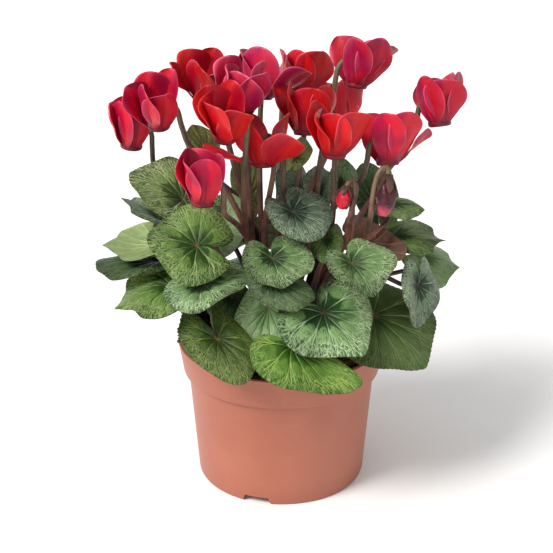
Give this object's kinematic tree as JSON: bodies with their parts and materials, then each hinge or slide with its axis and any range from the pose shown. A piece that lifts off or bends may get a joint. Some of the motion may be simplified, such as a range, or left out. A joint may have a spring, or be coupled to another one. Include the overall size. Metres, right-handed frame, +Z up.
{
  "type": "potted cyclamen",
  "caption": "Flowering cyclamen house plant in a round tapered plastic pot: marbled heart-shaped leaves below swept-back red blooms on hooked stalks, standing on the pot's flat foot.",
  "frame": {"origin": "middle of the pot's foot, on the surface that the pot stands on, on the pot's axis", "axes": "+Z up along the pot's axis; the pictured side faces -Y; +X to the viewer's right"},
  "size_m": [0.207, 0.1831, 0.2572],
  "materials": {
    "pot": "satin",
    "soil": "matte",
    "stems": "satin",
    "leaf": "satin",
    "petal_red": "satin",
    "petal_pink": "satin",
    "bud": "satin"
  },
  "bodies": {
    "root": {"bloom_back_left": "petal_red", "bloom_back_right": "petal_red", "bloom_centre_left": "petal_red", "bloom_centre_right": "petal_red", "bloom_far_right": "petal_red", "bloom_left_back": "petal_red", "bloom_left_front": "petal_red", "bloom_left_low": "petal_red", "bloom_middle": "petal_red", "bloom_pink": "petal_pink", "bloom_right_low": "petal_red", "bloom_right_middle": "petal_red", "bloom_top_left": "petal_red", "bloom_top_middle": "petal_pink", "bloom_top_right": "petal_red", "bloom_top_right_middle": "petal_red", "bud_purple": "bud", "bud_red": "bud", "leaf_back_dark": "leaf", "leaf_back_middle": "leaf", "leaf_back_strip": "leaf", "leaf_back_yellow": "leaf", "leaf_behind_buds": "leaf", "leaf_behind_front": "leaf", "leaf_behind_left": "leaf", "leaf_behind_round": "leaf", "leaf_dark_heart": "leaf", "leaf_far_1": "leaf", "leaf_far_2": "leaf", "leaf_far_3": "leaf", "leaf_far_4": "leaf", "leaf_far_5": "leaf", "leaf_far_6": "leaf", "leaf_far_right": "leaf", "leaf_fold_high": "leaf", "leaf_fold_low": "leaf", "leaf_front": "leaf", "leaf_front_left": "leaf", "leaf_front_right": "leaf", "leaf_half_hidden": "leaf", "leaf_hanging_right": "leaf", "leaf_heart": "leaf", "leaf_heart_right": "leaf", "leaf_in_shadow": "leaf", "leaf_low_left": "leaf", "leaf_low_right": "leaf", "leaf_olive_point": "leaf", "leaf_purple_left": "leaf", "leaf_right": "leaf", "leaf_rolled_right": "leaf", "leaf_round_left": "leaf", "leaf_shelf_left": "leaf", "leaf_sliver_left": "leaf", "leaf_small_olive": "leaf", "leaf_small_round": "leaf", "leaf_under_heart": "leaf", "leaf_upper_left": "leaf", "pot": "pot", "soil": "soil", "stems": "stems"}
  },
  "joints": []
}
